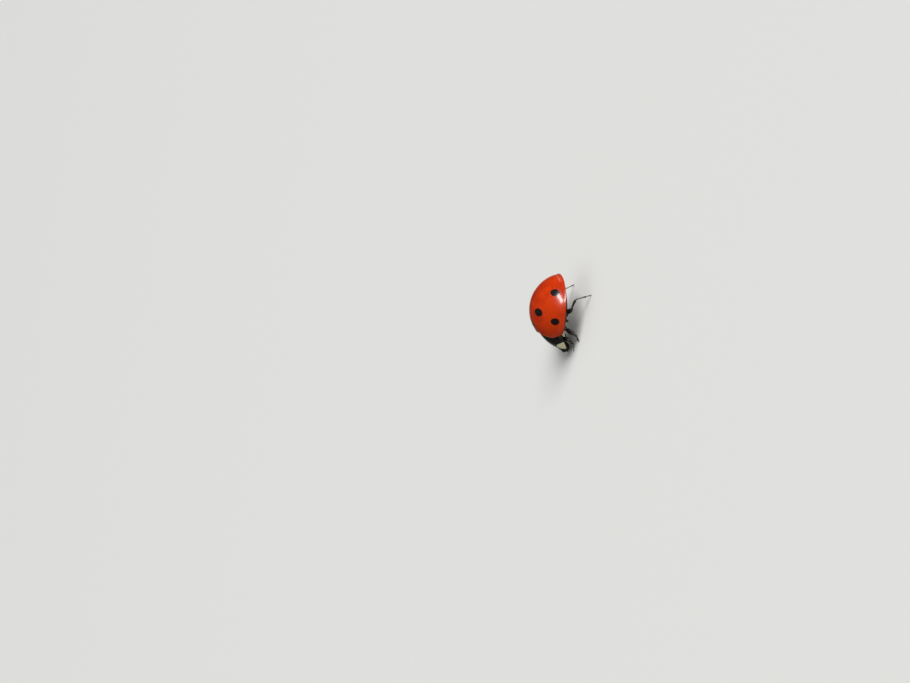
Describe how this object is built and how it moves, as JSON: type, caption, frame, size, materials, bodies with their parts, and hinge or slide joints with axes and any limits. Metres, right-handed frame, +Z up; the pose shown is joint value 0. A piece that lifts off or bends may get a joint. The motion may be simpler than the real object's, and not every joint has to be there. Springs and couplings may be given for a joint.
{
  "type": "ladybird model",
  "caption": "Life-size still model of a seven-spot ladybird standing with its wing cases closed, head hanging low, feet drawn in and hind feet reaching back on a flat floor.",
  "frame": {"origin": "on the floor, under the middle of the model's box; the feet stand on z = 0", "axes": "+Z up, the head faces -Y, the animal's left side is +X"},
  "size_m": [0.0056, 0.0078, 0.005],
  "materials": {
    "red_shell": "glossy red wing cases with black spots",
    "black_shell": "glossy black shell with fine pits and ivory corner patches",
    "underside": "satin black plates with fine pale hairs",
    "ivory_plate": "satin ivory side plates",
    "eye": "glossy black, finely faceted",
    "antenna": "satin brown, darker at the club",
    "mouthparts": "satin dark brown",
    "leg": "satin black with fine golden hairs"
  },
  "bodies": {
    "root": {"elytron_left": "red_shell", "elytron_right": "red_shell", "scutellum": "black_shell", "pronotum": "black_shell", "prosternum": "black_shell", "thorax": "underside", "abdomen": "underside", "mesepimeron_left": "ivory_plate", "mesepimeron_right": "ivory_plate", "head": "black_shell", "labrum": "mouthparts", "eye_left": "eye", "eye_right": "eye", "antenna_left": "antenna", "antenna_right": "antenna", "palp_left": "mouthparts", "palp_right": "mouthparts", "coxa_front_left": "leg", "femur_front_left": "leg", "tibia_front_left": "leg", "tarsus_front_left": "leg", "coxa_front_right": "leg", "femur_front_right": "leg", "tibia_front_right": "leg", "tarsus_front_right": "leg", "coxa_middle_left": "leg", "femur_middle_left": "leg", "tibia_middle_left": "leg", "tarsus_middle_left": "leg", "coxa_middle_right": "leg", "femur_middle_right": "leg", "tibia_middle_right": "leg", "tarsus_middle_right": "leg", "coxa_hind_left": "leg", "femur_hind_left": "leg", "tibia_hind_left": "leg", "tarsus_hind_left": "leg", "coxa_hind_right": "leg", "femur_hind_right": "leg", "tibia_hind_right": "leg", "tarsus_hind_right": "leg"}
  },
  "joints": []
}
